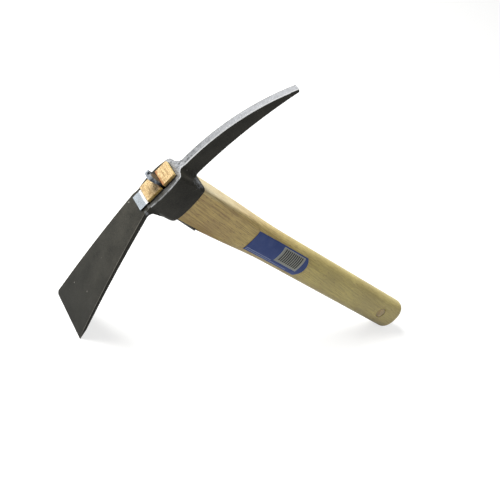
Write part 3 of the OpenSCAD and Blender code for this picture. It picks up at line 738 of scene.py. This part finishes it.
class HeadLines:
    """The lines of the forged head, worked out from its sizes, and the loops of points along them."""

    # A softened edge takes at most this share of a loop's height.
    SOFT_SHARE = 0.45

    # Heights over which the widths of blade and cutter turn into the eye's.
    BLADE_STEP = 1.2 * MM
    CUTTER_STEP = 0.4 * MM

    def __init__(self, size):
        self.size = size
        down = Vector((0.0, -1.0))

        # The blade's top and underside are arcs, and a fillet leads from the underside into the eye.
        self.tip = Vector((-size.blade_reach, -size.blade_drop))
        self.level = Vector((-size.eye_blade - size.blade_level, 0.0))
        fall = (self.level - self.tip).normalized()
        self.bevel = self.tip + fall * size.blade_bevel + Vector((fall.y, -fall.x)) * size.blade_end_t
        root = Vector((-size.eye_blade, -size.blade_root_t))
        self.arch = arc_middle(self.tip, self.level, size.blade_arch)
        self.under = arc_middle(self.bevel, root, size.blade_arch)
        arm = (root - self.under) / size.blade_arch
        along = Vector((-arm.y, arm.x))
        turn = math.acos(along.dot(down)) / 2
        run = size.blade_fillet / math.tan(turn)
        self.fillet = root + (along + down).normalized() * size.blade_fillet / math.sin(turn)
        self.fillet_start = root + along * run
        self.web = root.y - run

        # The eye's cheeks are arcs between its rounded corners.
        self.half_length = (size.eye_cutter + size.eye_blade) / 2
        self.mid_x = (size.eye_cutter - size.eye_blade) / 2
        self.bow_radius = (self.half_length ** 2 + size.bow ** 2) / (2 * size.bow)
        self.bow_middle = size.eye_half - self.bow_radius
        inner = self.half_length - size.corner
        self.flat = self.bow_middle + math.sqrt((self.bow_radius - size.corner) ** 2 - inner ** 2)
        self.turn_x = inner * self.bow_radius / (self.bow_radius - size.corner)

        # The cutter's back and belly are arcs, and its neck is a hollow that touches the eye's corner.
        rise = size.cutter_half + size.neck - self.flat
        self.neck_x = size.eye_cutter - size.corner + math.sqrt((size.corner + size.neck) ** 2 - rise ** 2)
        root_top = Vector((self.neck_x, -size.cutter_step))
        root_low = Vector((size.eye_cutter, -size.cutter_step - size.cutter_root))
        end_top = Vector((size.cutter_reach, -size.cutter_drop))
        self.back = arc_middle(root_top, end_top, size.cutter_back)
        self.end_low = end_top + (self.back - end_top).normalized() * size.cutter_tip
        self.belly = arc_middle(root_low, self.end_low, size.cutter_belly)
        self.below = root_low.y - size.cutter_fillet

    def plan(self, x):
        """Half the blade's width."""
        size = self.size
        seat = size.corner - size.eye_blade
        share = (seat - x) / (seat + size.blade_reach)
        return (size.blade_root + (size.blade_edge - size.blade_root) * share) / 2

    def top(self, x):
        """Height of the blade's top."""
        return arc_height(x, self.arch, self.size.blade_arch) if x < self.level.x else 0.0

    def cheek(self, x):
        """Half the eye's thickness."""
        size = self.size
        away = abs(x - self.mid_x)
        if away < self.turn_x:
            return self.bow_middle + math.sqrt(self.bow_radius ** 2 - away ** 2)
        past = away - self.half_length + size.corner
        return self.flat + math.sqrt(max(0.0, size.corner ** 2 - past ** 2))

    def neck(self, x):
        """Half the neck's thickness."""
        size = self.size
        return size.cutter_half + size.neck - math.sqrt(size.neck ** 2 - (self.neck_x - x) ** 2)

    def foot(self, into, radius):
        """Height of the eye's underside at a distance in from an end wall with a rounded foot."""
        short = max(0.0, radius - into)
        return -self.size.eye_depth + radius - math.sqrt(radius ** 2 - short ** 2)

    def plain_loop(self, x, high, low, half, lean=0.0):
        """A loop of the blade or the cutter, with upright sides."""
        size = self.size
        soft = min(size.soften if x > -size.eye_blade else size.blade_soften, self.SOFT_SHARE * (high - low))
        sides = [(half, high - (high - low) * share) for share in (1 / 3, 2 / 3)]
        return head_loop(x, high, low, (half, sides[0], sides[1], half), soft, lean)

    def eye_loop(self, x, low, side):
        """A loop of the eye, with the further bow of its far cheek."""
        swell = self.size.far_bow * max(0.0, 1 - ((x - self.mid_x) / self.half_length) ** 2)
        return head_loop(x, 0.0, low, side, self.size.soften, swell=swell)

    def blade(self):
        """Loops from the cutting edge to the end of the fillet under the blade's root."""
        size, tip, bevel = self.size, self.tip, self.bevel
        made = [
            self.plain_loop(tip.x, tip.y, tip.y - size.blade_edge_t, self.plan(tip.x)),
            self.plain_loop(bevel.x, self.top(bevel.x), bevel.y, self.plan(bevel.x))]
        steps = 12
        for step in range(1, steps):
            x = bevel.x + (self.fillet_start.x - bevel.x) * step / steps
            low = arc_height(x, self.under, size.blade_arch)
            made.append(self.plain_loop(x, self.top(x), low, self.plan(x)))
        out = self.fillet_start - self.fillet
        turns = 5
        for step in range(turns + 1):
            turn = math.atan2(out.y, out.x) * (1 - step / turns)
            x = self.fillet.x + size.blade_fillet * math.cos(turn) - SEAM
            low = self.fillet.y + size.blade_fillet * math.sin(turn)
            made.append(self.plain_loop(x, self.top(x), low, self.plan(x)))
        return made

    def eye(self):
        """Loops from the eye's corners at the blade to those at the cutter."""
        size, web, below = self.size, self.web, self.below
        made = []
        turns = range(0, 90, 15)
        for degrees in turns:
            into = size.corner * (1 - math.cos(math.radians(degrees)))
            x = into - size.eye_blade
            narrow = self.cheek(x)
            wide = max(self.plan(x), narrow)
            made.append(self.eye_loop(x, self.foot(into, size.foot), (
                wide, (wide, web - into), (narrow, web - into - self.BLADE_STEP), narrow)))
        steps = 6
        for step in range(-steps, steps + 1):
            x = self.mid_x + self.turn_x * step / steps
            half = self.cheek(x)
            low = max(self.foot(x + size.eye_blade, size.foot), self.foot(size.eye_cutter - x, size.heel))
            made.append(self.eye_loop(x, low, (half, (half, web), (half, 2 * web), half)))
        for degrees in reversed(turns):
            into = size.corner * (1 - math.cos(math.radians(degrees)))
            x = size.eye_cutter - into
            lower = self.cheek(x)
            upper = lower if degrees else self.neck(x)
            made.append(self.eye_loop(x, self.foot(into, size.heel), (
                upper, (upper, below), (lower, below - self.CUTTER_STEP), lower)))
        return made

    def cutter(self):
        """Loops from the cutter's neck to its tip."""
        size, neck_x = self.size, self.neck_x
        made = []
        begin = size.eye_cutter + SEAM
        for share in (0.0, 0.12, 0.27, 0.45, 0.7, 1.0):
            x = begin + (neck_x - begin) * share
            short = max(0.0, size.cutter_fillet - (x - size.eye_cutter))
            hang = size.cutter_fillet - math.sqrt(size.cutter_fillet ** 2 - short ** 2)
            low = arc_height(x, self.belly, size.cutter_belly) - hang
            made.append(self.plain_loop(x, -size.cutter_step * share, low, self.neck(x)))
        steps = 16
        for step in range(1, steps + 1):
            upper_x = neck_x + (size.cutter_reach - neck_x) * step / steps
            lower_x = neck_x + (self.end_low.x - neck_x) * step / steps
            made.append(self.plain_loop(
                upper_x, arc_height(upper_x, self.back, size.cutter_back),
                arc_height(lower_x, self.belly, size.cutter_belly), size.cutter_half, upper_x - lower_x))
        return made


class MATTOCK_OT_forged_head(bpy.types.Operator):
    """Sweeps the forged head from the cutting edge through the eye to the cutter's tip, and opens its eye"""

    bl_idname = "mattock.forged_head"
    bl_label = "Forged head"

    def execute(self, context):
        size = context.scene.mattock_head_sizes
        lines = HeadLines(size)
        piece = sweep("forged_head", lines.blade() + lines.eye() + lines.cutter())
        self.wear_corner(piece, size)
        hole = block(
            "eye_hole", (size.hole_blade + size.hole_cutter, 2 * size.hole_half, 2 * size.eye_depth),
            ((size.hole_cutter - size.hole_blade) / 2, 0.0, -size.eye_depth / 2))
        cut(piece, hole)
        finish = context.scene.mattock_finishes
        for made in (
                forge_scale(finish), ground_steel(finish),
                worn_highlit_edge(finish, "worn_highlit_arris", finish.scale_fleck, 0.19, 0.64),
                worn_highlit_edge(finish, "rubbed_rim", finish.ground_dull, 0.26, 0.94),
                worn_highlit_edge(finish, "eye_arris_highlit", finish.ground, 0.24, 0.8),
                worn_highlit_edge(finish, "cutter_arris_highlit", finish.steel_highlight, 0.19, 0.44)):
            piece.data.materials.append(made)
        self.grind(piece, size)
        smooth(piece, 32)
        stand(piece)
        stand_in(piece, "mattock_head")
        return {"FINISHED"}

    def wear_corner(self, piece, size):
        """Rounds the far corner of the cutting edge by a few cuts along its arc."""
        alone(piece)
        bpy.ops.object.mode_set(mode="EDIT")
        inset = 1.14 * size.blade_corner
        middle = Vector((size.blade_corner - size.blade_reach, size.blade_edge / 2 - inset, 0.0))
        for degrees in (107, 123, 139, 155, 168):
            out = Vector((math.cos(math.radians(degrees)), math.sin(math.radians(degrees)), 0.0))
            bpy.ops.mesh.select_all(action="SELECT")
            bpy.ops.mesh.bisect(
                plane_co=middle + out * size.blade_corner, plane_no=out, use_fill=True, clear_outer=True)

    def grind(self, piece, size):
        """Gives the rim and the cutter's back their ground steel, and the long edges their wear. The lighter
        edge materials go on faces that point up and on the near side as painted highlights, and the far side
        keeps the dark scale as painted shade.
        """
        scale, ground, worn, rim, arris, bright = range(6)
        edge_end = 2 * MM - size.blade_reach
        blade_end = 4 * MM - size.eye_blade
        rim_start, rim_end = -size.hole_blade - 2 * MM, size.hole_cutter - 2 * MM
        # Limits on a face's area and on its normal tell softened edges from steep and level faces.
        narrow = 120 * MM * MM
        steep, shallow, level, turned = 0.2, 0.8, 0.985, 0.15
        for face in piece.data.polygons:
            x, y = face.center.xy
            up, away = face.normal.z, face.normal.y
            softened = up < level and abs(away) > turned and face.area < narrow
            if x < edge_end or up < steep:
                face.material_index = scale
            # Painted highlight: on the blade only the edge faces that point up take the worn steel, and on
            # the eye and the cutter the near side's edges are lighter than the far side's.
            elif softened and x < blade_end:
                face.material_index = worn if up > shallow else scale
            elif softened and x < size.hole_cutter:
                face.material_index = arris if away < 0 else scale
            elif softened:
                face.material_index = bright if away < 0 else worn
            # Painted shade: the far side of the rim keeps the dark scale, while the near side is ground
            # steel.
            elif rim_start < x < rim_end:
                face.material_index = rim if y < 0 else scale
            elif x > 0:
                face.material_index = ground


class MATTOCK_OT_wooden_handle(bpy.types.Operator):
    """Sweeps the handle from its tenon to its butt, then cuts its kerf, its seat and its hanging hole"""

    bl_idname = "mattock.wooden_handle"
    bl_label = "Wooden handle"

    # Powers of the sections' outlines: two gives an oval, and a high one gives a rectangle.
    TENON_POWER = 24.0
    SHANK_POWER = 14.0
    GRIP_POWER = 2.25

    def execute(self, context):
        scene = context.scene
        size, head = scene.mattock_handle_sizes, scene.mattock_head_sizes
        wedge, strip = scene.mattock_wedge_sizes, scene.mattock_strip_sizes
        hang = size.proud - size.total + size.hang_from
        piece = sweep("wooden_handle", self.loops(size, head.eye_depth, strip.slack))
        self.saw(piece, size, wedge, strip.slack)
        self.seat(piece, size, head, strip)
        self.drill(piece, size, hang)
        finish = scene.mattock_finishes
        piece.data.materials.append(turned_wood(
            finish, hang / MM, size.hang_d / 2 / MM, head.eye_depth / MM))
        piece.data.materials.append(end_grain(finish, wedge.shift / MM))
        for face in piece.data.polygons:
            face.material_index = 1 if face.normal.z > 0.5 and face.center.z > 0.0 else 0
        smooth(piece, 28)
        stand(piece)
        stand_in(piece, "handle")
        return {"FINISHED"}

    def loops(self, size, depth, slack):
        """Loops of the handle from the wedged end to the butt."""
        count = 96

        def loop(half_w, half_t, power, z):
            made = []
            for i in range(count):
                turn = 2 * math.pi * i / count
                parts = (math.cos(turn), math.sin(turn))
                wide, thick = [math.copysign(abs(part) ** (2 / power), part) for part in parts]
                made.append(Vector((half_w * wide, half_t * thick, z)))
            return made

        def ease(start, end, share):
            return start + (end - start) * share * share * (3 - 2 * share)

        half_w, half_t = size.tenon_w / 2, size.tenon_t / 2
        made = []
        for inset, down in ((1.0, 0.0), (0.3, 0.3), (0.0, 1.0)):
            made.append(loop(
                half_w - size.chamfer * inset, half_t - size.chamfer * inset, self.TENON_POWER,
                size.proud - size.chamfer * down))
        made.append(loop(half_w, half_t, self.TENON_POWER, -depth))
        steps = 24
        for step in range(steps + 1):
            share = step / steps
            made.append(loop(
                ease(size.shank_w, size.grip_w, share) / 2, ease(size.shank_t, size.grip_t, share) / 2,
                ease(self.SHANK_POWER, self.GRIP_POWER, math.sqrt(share)),
                -depth - slack - size.blend * share))
        end = size.proud - size.total
        turns = 12
        for step in range(turns + 1):
            turn = math.pi / 2 * step / turns
            inset = size.butt * (1 - math.cos(turn))
            made.append(loop(
                size.grip_w / 2 - inset, size.grip_t / 2 - inset, self.GRIP_POWER,
                end + size.butt * (1 - math.sin(turn))))
        return made

    def saw(self, piece, size, wedge, slack):
        """Saws the tapered kerf across the end."""
        top = size.proud + wedge.proud
        floor = top - wedge.total - wedge.spare
        wide, narrow = wedge.head_t + 2 * slack, wedge.thin_t + 2 * slack
        kerf = block("kerf_saw", (wide, 2 * size.shank_t, top - floor), (wedge.shift, 0.0, (top + floor) / 2))
        pick(kerf, "FACE", lambda face: face.normal.z < -SQUARE)
        bpy.ops.transform.resize(value=(narrow / wide, 1.0, 1.0), center_override=(wedge.shift, 0.0, floor))
        cut(piece, kerf)

    def seat(self, piece, size, head, strip):
        """Planes the flat in which the strip's tail lies."""
        long = strip.tail + strip.slack
        plane = block(
            "seat_plane", (size.shank_w / 2, 2 * size.shank_t, long),
            (-size.tenon_w / 2 - size.shank_w / 4, 0.0, -head.eye_depth - long / 2))
        cut(piece, plane)

    def drill(self, piece, size, hang):
        """Drills the hanging hole with its rounded mouths."""
        # Steps along the drill and their widening, as shares of the mouth's rounding. The last step
        # clears the wood.
        mouth = ((0.35, 0.05), (0.4, 0.25), (0.25, 0.7), (2.0, 2.0))
        bare()
        bpy.ops.mesh.primitive_cylinder_add(
            vertices=48, radius=size.hang_d / 2, depth=size.grip_t - 2 * size.hang_mouth, enter_editmode=True)
        drill = bpy.context.object
        for side in (-1, 1):
            for out, wide in mouth:
                pick(drill, "FACE", lambda face: face.normal.z * side > SQUARE)
                reach = max(point.co.x for point in bmesh.from_edit_mesh(drill.data).verts if point.select)
                bpy.ops.mesh.extrude_region_move(
                    TRANSFORM_OT_translate={"value": (0.0, 0.0, size.hang_mouth * out * side)})
                grown = 1 + size.hang_mouth * wide / reach
                bpy.ops.transform.resize(value=(grown, grown, 1.0))
        bpy.ops.mesh.select_all(action="SELECT")
        bpy.ops.transform.rotate(value=math.pi / 2, orient_axis="X", center_override=(0.0, 0.0, 0.0))
        bpy.ops.transform.translate(value=(0.0, 0.0, hang))
        cut(piece, drill)


class MATTOCK_OT_kerf_wedge(bpy.types.Operator):
    """Shapes the steel wedge from a block: tapered, rounded, softened and dented by the hammer"""

    bl_idname = "mattock.kerf_wedge"
    bl_label = "Kerf wedge"

    def execute(self, context):
        size = context.scene.mattock_wedge_sizes
        top = context.scene.mattock_handle_sizes.proud + size.proud
        piece = block(
            "steel_wedge", (size.head_t, size.width, size.total),
            (size.shift, -size.aside, top - size.total / 2))
        pick(piece, "FACE", lambda face: face.normal.z < -SQUARE)
        bpy.ops.transform.resize(
            value=(size.thin_t / size.head_t, 1.0, 1.0), center_override=(size.shift, 0.0, top - size.total))
        pick(piece, "EDGE", lambda edge: all(point.co.z > top - NEAR for point in edge.verts)
             and abs(edge.verts[0].co.y - edge.verts[1].co.y) < NEAR)
        bpy.ops.mesh.bevel(offset=size.corner, segments=7, affect="EDGES")
        # Rows of faces down the wedge and across it keep the dent's cut off the rest of its sides.
        rows = [((0.0, 0.0, top - down * MM), (0.0, 0.0, 1.0)) for down in (1.2, 3.0, 6.0, 10.0, 16.0)]
        rows += [((0.0, size.width * share, 0.0), (0.0, 1.0, 0.0)) for share in (-0.3, -0.1, 0.1, 0.3)]
        for place, normal in rows:
            bpy.ops.mesh.select_all(action="SELECT")
            bpy.ops.mesh.bisect(plane_co=place, plane_no=normal)
        soften(piece, size.soften, 3, 40)
        # The hammer's dent is cut by a ball above the top edge. Its hollow lies in from the ball's middle.
        ball_aside, ball_above = 0.5 * MM, 0.4 * MM
        dent = Vector((size.shift + size.head_t / 2, -ball_aside, top + ball_above))
        hollow = (dent - Vector((0.6 * MM, 0.0, ball_above))) / MM
        bare()
        bpy.ops.mesh.primitive_uv_sphere_add(
            segments=24, ring_count=12, radius=size.dent, enter_editmode=True)
        bpy.ops.transform.translate(value=dent)
        cut(piece, context.object)
        piece.data.materials.append(hammered_steel(context.scene.mattock_finishes, top / MM, hollow))
        smooth(piece, 40)
        stand(piece)
        stand_in(piece, "kerf_wedge")
        return {"FINISHED"}


class MATTOCK_OT_eye_strip(bpy.types.Operator):
    """Folds the steel strip: a leg down the eye, a bend over its rim and a lip on the blade's root"""

    bl_idname = "mattock.eye_strip"
    bl_label = "Eye strip"

    def execute(self, context):
        size = context.scene.mattock_strip_sizes
        depth = context.scene.mattock_head_sizes.eye_depth
        fold = -context.scene.mattock_handle_sizes.tenon_w / 2 - size.slack - size.thick
        leg = fold + size.thick / 2
        crest = size.slack + size.thick / 2
        bare()
        bpy.ops.mesh.primitive_plane_add(size=1.0, enter_editmode=True)
        piece = context.object
        piece.name = piece.data.name = "folded_strip"
        bpy.ops.transform.rotate(value=math.pi / 2, orient_axis="Y", center_override=(0.0, 0.0, 0.0))
        bpy.ops.transform.resize(value=(1.0, size.width, depth + size.slack))
        bpy.ops.transform.translate(value=(leg, 0.0, (size.slack - depth) / 2))
        pick(piece, "EDGE", lambda edge: all(point.co.z < NEAR - depth for point in edge.verts))
        bpy.ops.mesh.extrude_edges_move(TRANSFORM_OT_translate={"value": (-size.lean, 0.0, -size.tail)})
        pick(piece, "EDGE", lambda edge: all(point.co.z > 0.0 for point in edge.verts))
        bpy.ops.mesh.spin(
            steps=8, angle=math.pi / 2, center=(fold, 0.0, size.slack), axis=(0.0, 1.0, 0.0))
        pick(piece, "EDGE", lambda edge: all(
            point.co.z > crest - NEAR and abs(point.co.x - fold) < NEAR for point in edge.verts))
        bpy.ops.mesh.extrude_edges_move(TRANSFORM_OT_translate={"value": (-size.lip, 0.0, 0.0)})
        bpy.ops.mesh.select_all(action="SELECT")
        bpy.ops.mesh.remove_doubles(threshold=SLIVER)
        bpy.ops.mesh.normals_make_consistent(inside=False)
        finish_modifier(piece, "SOLIDIFY", thickness=size.thick, offset=0.0, use_even_offset=True)
        soften(piece, size.soften, 2, 50)
        piece.data.materials.append(sheet_steel(
            context.scene.mattock_finishes, fold / MM, size.width / 2 / MM))
        smooth(piece, 35)
        stand(piece)
        stand_in(piece, "eye_shim")
        return {"FINISHED"}


class MATTOCK_OT_paper_label(bpy.types.Operator):
    """Lays the paper label on the near side of the handle"""

    bl_idname = "mattock.paper_label"
    bl_label = "Paper label"

    def execute(self, context):
        size = context.scene.mattock_label_sizes
        slack = context.scene.mattock_strip_sizes.slack
        handle = context.scene.objects["wooden_handle"]
        # The flat sheet starts clear of the handle, and is then laid on its side.
        clear = 30 * MM
        bare()
        bpy.ops.mesh.primitive_grid_add(x_subdivisions=32, y_subdivisions=48, size=1.0, enter_editmode=True)
        piece = context.object
        piece.name = piece.data.name = "paper_label"
        mesh = bmesh.from_edit_mesh(piece.data)
        for point in mesh.verts:
            across, along = point.co.x, point.co.y + 0.5
            reach = size.total + size.bulge * (1 - 4 * across * across)
            point.co = (size.rise + size.height * across, -clear, -size.start - reach * along)
        bmesh.update_edit_mesh(piece.data)
        stand(piece)
        finish_modifier(piece, "SHRINKWRAP", target=handle, wrap_method="PROJECT", use_project_y=True,
                        use_positive_direction=True, use_negative_direction=False, offset=slack)
        bpy.ops.object.mode_set(mode="EDIT")
        bpy.ops.mesh.select_all(action="SELECT")
        bpy.ops.mesh.normals_make_consistent(inside=False)
        bpy.ops.object.mode_set(mode="OBJECT")
        facing = sum(face.normal.y * face.area for face in piece.data.polygons)
        finish_modifier(piece, "SOLIDIFY", thickness=size.thick, offset=1.0 if facing < 0 else -1.0)
        piece.data.materials.append(printed_label(context.scene.mattock_finishes, size))
        smooth(piece, 40)
        stand_in(piece, "handle_label")
        return {"FINISHED"}


class MATTOCK_OT_stage(bpy.types.Operator):
    """Lays the pale floor and sets up the lamps, the sky and the camera"""

    bl_idname = "mattock.stage"
    bl_label = "Stage"

    def execute(self, context):
        size = context.scene.mattock_stage_sizes
        self.floor(size, context.scene.mattock_finishes)
        self.lamps(size)
        self.sky(context.scene, size)
        self.camera(context.scene, size)
        context.scene.view_settings.view_transform = "Standard"
        return {"FINISHED"}

    def floor(self, size, finish):
        """A pale floor of matt paper that shows white to the camera and keeps the soft shadow."""
        bare()
        bpy.ops.mesh.primitive_plane_add(size=size.floor)
        floor = bpy.context.object
        floor.name = floor.data.name = "studio_floor"
        made = bpy.data.materials.new("pale_studio_paper")
        made.use_nodes = True
        put = partial(add, made.node_tree)
        rays = [put("LightPath", (), name) for name in ("Is Camera Ray", "Is Glossy Ray")]
        seen = put("Math", rays, operation="MAXIMUM")
        lift = put("Math", (seen, size.lift), operation="MULTIPLY")
        plug(made.node_tree.nodes["Principled BSDF"], {
            "Base Color": finish.floor, "Roughness": 0.9, "Emission Color": WHITE, "Emission Strength": lift})
        floor.data.materials.append(made)

    def lamps(self, size):
        """A large soft lamp above the head, and a weaker one on the near side."""
        aim = Vector((-0.05, 0.0, 0.08))
        for name, place, side, power in (
                ("key_lamp", (-0.95, 0.55, 1.25), 0.9, size.key),
                ("fill_lamp", (0.35, -1.3, 0.7), 1.0, size.fill)):
            bare()
            turn = (Vector(place) - aim).to_track_quat("Z", "Y").to_euler()
            bpy.ops.object.light_add(type="AREA", location=place, rotation=turn)
            lamp = bpy.context.object
            lamp.name = lamp.data.name = name
            lamp.data.size = side
            lamp.data.energy = power
            lamp.visible_glossy = False

    def sky(self, scene, size):
        """Even pale light all round, white to the camera and rising from grey to white in a mirror."""
        scene.world = bpy.data.worlds.new("studio_sky")
        scene.world.use_nodes = True
        put = partial(add, scene.world.node_tree)
        towards = put("TexCoord", (), "Generated")
        high = put("SeparateXYZ", (towards,), "Z")
        mirror = put("MapRange", (high, 0.0, 1.0, size.mirror_low, size.mirror_high))
        shown = put("Mix", (put("LightPath", (), "Is Glossy Ray"), size.sky, mirror))
        level = put("Mix", (put("LightPath", (), "Is Camera Ray"), shown, 1.0))
        plug(scene.world.node_tree.nodes["Background"], {"Color": WHITE, "Strength": level})

    def camera(self, scene, size):
        """The photograph's camera, placed in the tool's own axes."""
        bare()
        turn = Euler(size.turn).to_matrix().to_4x4()
        place = STANCE @ Matrix.Translation(size.place) @ turn
        bpy.ops.object.camera_add(location=place.to_translation(), rotation=place.to_euler())
        camera = bpy.context.object
        camera.name = camera.data.name = "photo_camera"
        camera.data.sensor_fit = "HORIZONTAL"
        camera.data.sensor_width = size.film
        camera.data.lens = size.focal
        scene.camera = camera


STEPS = (
    MATTOCK_OT_forged_head,
    MATTOCK_OT_wooden_handle,
    MATTOCK_OT_kerf_wedge,
    MATTOCK_OT_eye_strip,
    MATTOCK_OT_paper_label,
    MATTOCK_OT_stage,
)


class MATTOCK_PT_pieces(bpy.types.Panel):
    """Lists the steps that model the mattock, and their sizes."""

    bl_label = "Hand mattock"
    bl_space_type = "VIEW_3D"
    bl_region_type = "UI"
    bl_category = "Mattock"

    def draw(self, context):
        for step in STEPS:
            self.layout.operator(step.bl_idname)
        for name in GROUPS:
            group = getattr(context.scene, name)
            box = self.layout.box()
            box.label(text=name.replace("_", " "))
            for key in group.__annotations__:
                box.prop(group, key)


def register():
    for name, group in GROUPS.items():
        bpy.utils.register_class(group)
        setattr(bpy.types.Scene, name, bpy.props.PointerProperty(type=group))
    for made in STEPS + (MATTOCK_PT_pieces,):
        bpy.utils.register_class(made)


def unregister():
    for made in reversed(STEPS + (MATTOCK_PT_pieces,)):
        bpy.utils.unregister_class(made)
    for name, group in reversed(GROUPS.items()):
        delattr(bpy.types.Scene, name)
        bpy.utils.unregister_class(group)


def main():
    register()
    for step in STEPS:
        family, name = step.bl_idname.split(".")
        getattr(getattr(bpy.ops, family), name)()


if __name__ == "__main__":
    main()
